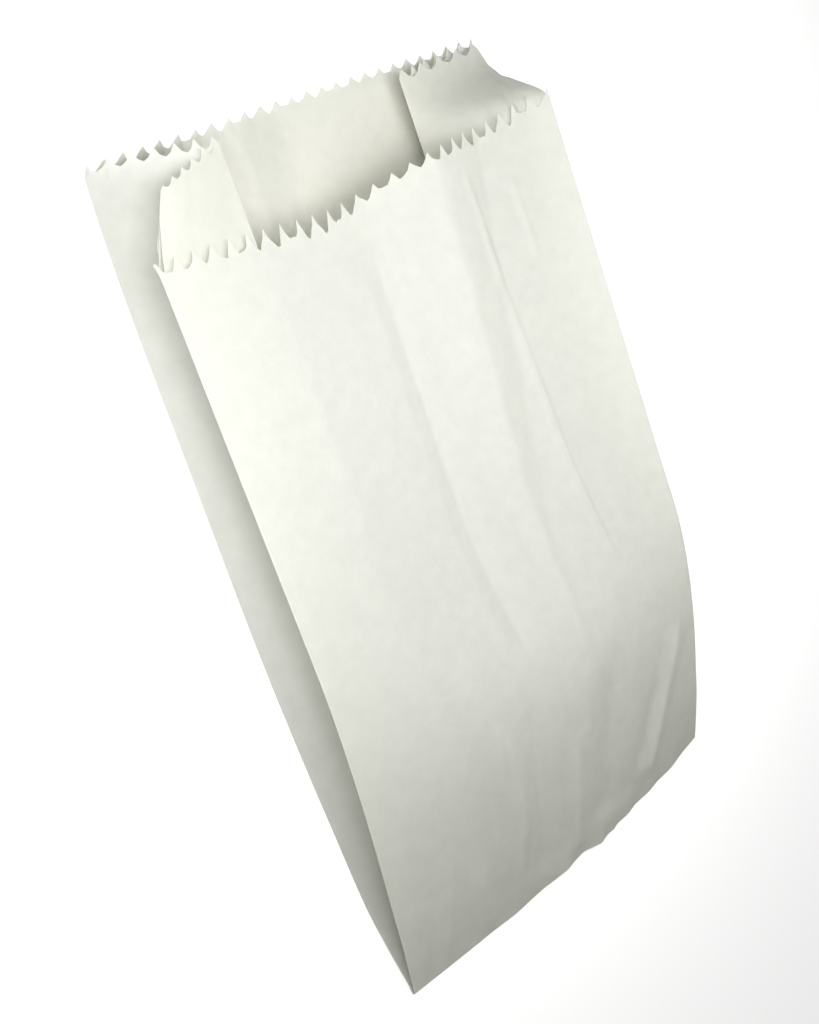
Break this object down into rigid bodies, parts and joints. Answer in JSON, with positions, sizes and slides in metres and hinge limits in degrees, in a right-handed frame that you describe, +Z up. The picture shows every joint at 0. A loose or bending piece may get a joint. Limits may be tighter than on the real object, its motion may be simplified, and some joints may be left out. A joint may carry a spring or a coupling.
{
  "type": "grease-resistant paper bag",
  "caption": "Flat takeaway bag of white grease-resistant paper with folded side gussets, a glued foot and a toothed mouth cut lower in front, lying a little open",
  "frame": {"origin": "centre of the bounding box's foot, on the surface that the bag lies on", "axes": "+Y runs along the bag from its glued foot to its open mouth, +Z is up from the back sheet that it lies on to the front sheet, +X is its right side seen from the front"},
  "size_m": [0.1404, 0.24, 0.0233],
  "materials": {
    "white_paper": "uncoated white greaseproof paper, faint machine gloss"
  },
  "bodies": {
    "root": {"bag": "white_paper"}
  },
  "joints": []
}
